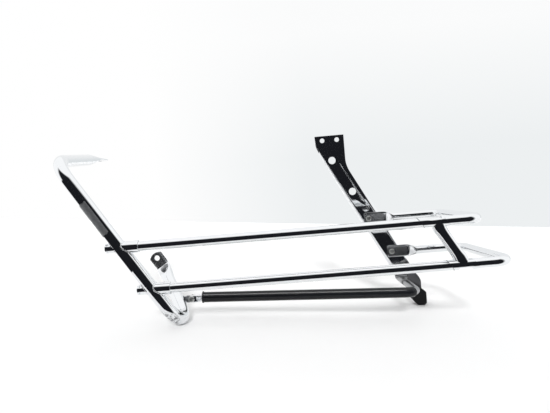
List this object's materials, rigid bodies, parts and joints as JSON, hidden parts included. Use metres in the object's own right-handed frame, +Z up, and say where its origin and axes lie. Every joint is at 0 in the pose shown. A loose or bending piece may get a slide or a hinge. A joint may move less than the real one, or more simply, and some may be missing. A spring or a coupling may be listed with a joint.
{
  "type": "saddlebag guard",
  "caption": "Side guard frame for a motorbike saddlebag: bent chrome tube round the front, two long rails, rear loops, a drilled bracket arm and a sleeved lower strut.",
  "frame": {"origin": "midway between the two holes in the bracket arm's top pad, on the pad's back face, which lies against the bike", "axes": "+X along the two rails towards the rear of the bike, +Y inboard towards the bike, +Z up"},
  "size_m": [0.878, 0.2952, 0.419],
  "materials": {
    "chrome": "bright chrome plate on steel tube",
    "film": "satin grey protective film",
    "zinc": "bright zinc plated steel",
    "sleeve": "satin black vinyl sleeve",
    "boot": "moulded black rubber"
  },
  "bodies": {
    "root": {"front_hoop": "chrome", "hoop_film": "film", "upper_rail_socket": "chrome", "lower_rail_socket": "chrome", "upper_bolt_boss": "chrome", "lower_bolt_boss": "chrome", "upper_rail_bolt": "chrome", "lower_rail_bolt": "chrome", "upper_rail_plug": "zinc", "lower_rail_plug": "zinc", "upper_rail": "chrome", "lower_rail": "chrome", "rear_link": "chrome", "upper_rear_loop": "chrome", "lower_rear_loop": "chrome", "bracket_arm": "chrome", "arm_clinch_nut": "chrome", "upper_loop_bolt": "zinc", "lower_loop_bolt": "zinc", "upper_loop_nut": "zinc", "lower_loop_nut": "zinc", "lower_strut": "chrome", "strut_sleeve": "sleeve", "strut_lug": "chrome", "strut_front_bolt": "zinc", "strut_front_nut": "zinc", "strut_rear_bolt": "zinc", "strut_rear_nut": "zinc", "foot_boot": "boot"}
  },
  "joints": []
}
